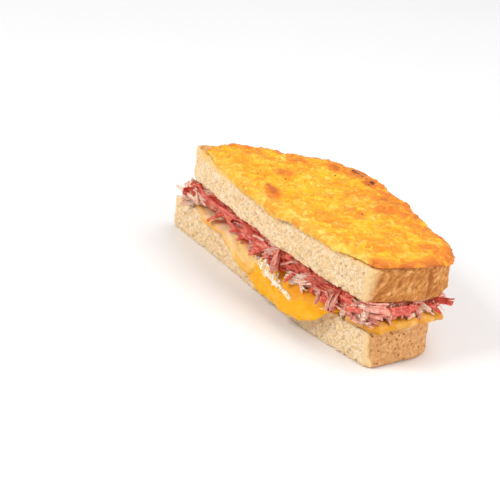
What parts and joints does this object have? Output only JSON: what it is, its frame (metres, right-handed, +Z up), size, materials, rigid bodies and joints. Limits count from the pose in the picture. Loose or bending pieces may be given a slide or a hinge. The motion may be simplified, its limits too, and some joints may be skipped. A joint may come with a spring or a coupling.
{
  "type": "ham and cheese melt",
  "caption": "Toasted ham and cheese melt cut lengthwise in half: bread, melted cheese slices, shredded ham and a melted cheese topping.",
  "frame": {"origin": "centre of the bounding box's underside, level with what the melt rests on", "axes": "+X along the cut from the slice's domed top towards its base, +Y away from the cut face, +Z up"},
  "size_m": [0.1392, 0.0644, 0.0427],
  "materials": {
    "bread_bottom": "toasted crust and dry, porous crumb",
    "bread_top": "toasted crust and dry, porous crumb",
    "cheese_slice_pale": "melted cheese, soft gloss",
    "cheese_slice_thick": "melted cheese, soft gloss",
    "cheese_slice_base": "melted cheese, soft gloss",
    "ham": "moist fibrous cooked ham",
    "cheese_topping": "browned melted cheese, greasy in places"
  },
  "bodies": {
    "root": {"bread_bottom": "bread_bottom", "bread_top": "bread_top", "cheese_slice_pale": "cheese_slice_pale", "cheese_slice_thick": "cheese_slice_thick", "cheese_slice_base": "cheese_slice_base", "ham": "ham", "cheese_topping": "cheese_topping"}
  },
  "joints": []
}
